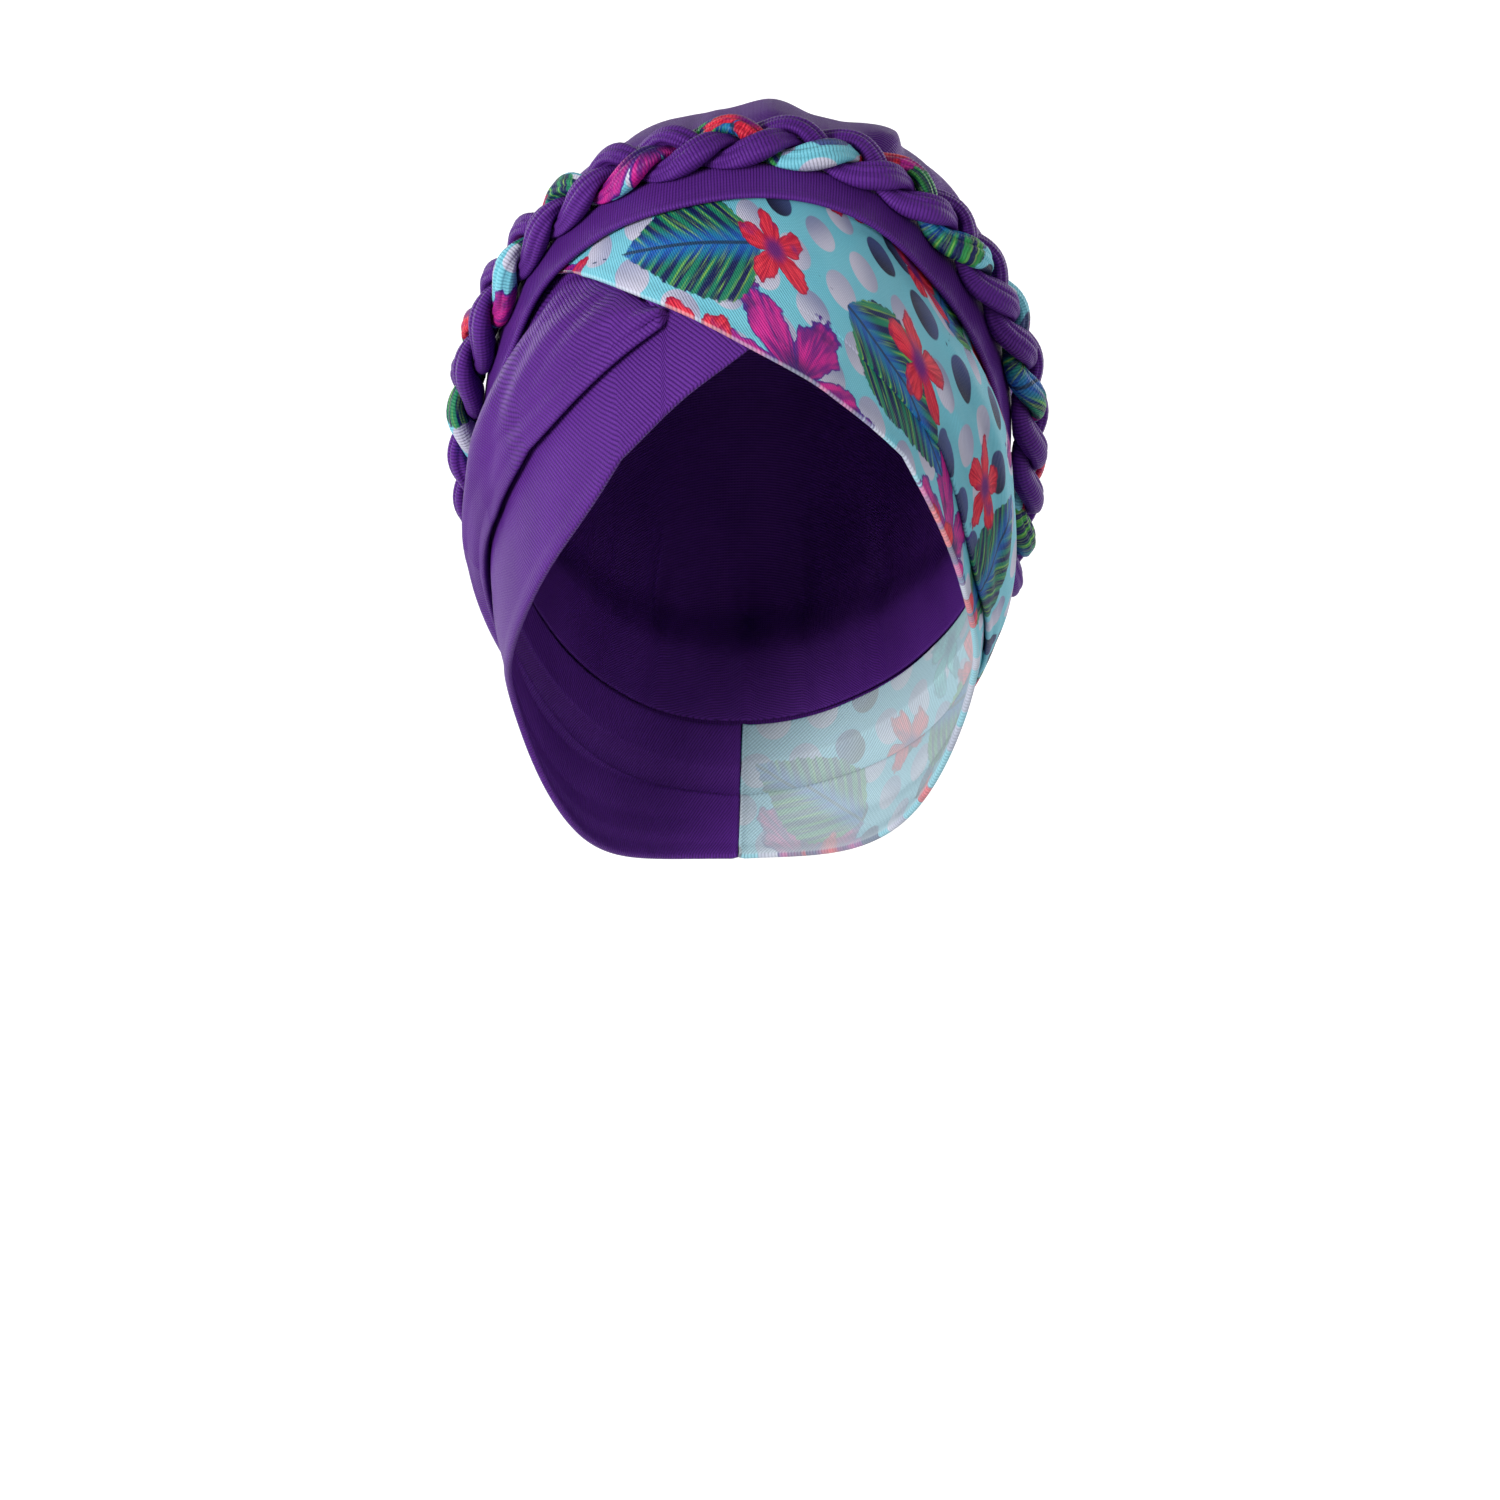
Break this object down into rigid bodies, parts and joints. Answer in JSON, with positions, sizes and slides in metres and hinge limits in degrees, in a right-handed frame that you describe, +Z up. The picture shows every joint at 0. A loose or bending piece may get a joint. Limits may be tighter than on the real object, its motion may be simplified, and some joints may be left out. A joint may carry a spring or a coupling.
{
  "type": "turban headwrap",
  "caption": "Pre-tied stretch turban with a gathered crown, crossed plain and printed panels and a braided halo, open below for the head.",
  "frame": {"origin": "middle of the crown's inside, where the top of the wearer's head bears", "axes": "+Z up, the face opening towards -Y, +X to the wearer's left, which is the viewer's right"},
  "size_m": [0.1862, 0.2099, 0.2474],
  "materials": {
    "purple_knit": "satin stretch knit",
    "printed_knit": "printed stretch knit"
  },
  "bodies": {
    "root": {"crown": "purple_knit", "front_band": "purple_knit", "left_panel": "purple_knit", "print_panel": "printed_knit", "braid_strand_1": "purple_knit", "braid_strand_2": "purple_knit", "braid_strand_3": "printed_knit"}
  },
  "joints": []
}
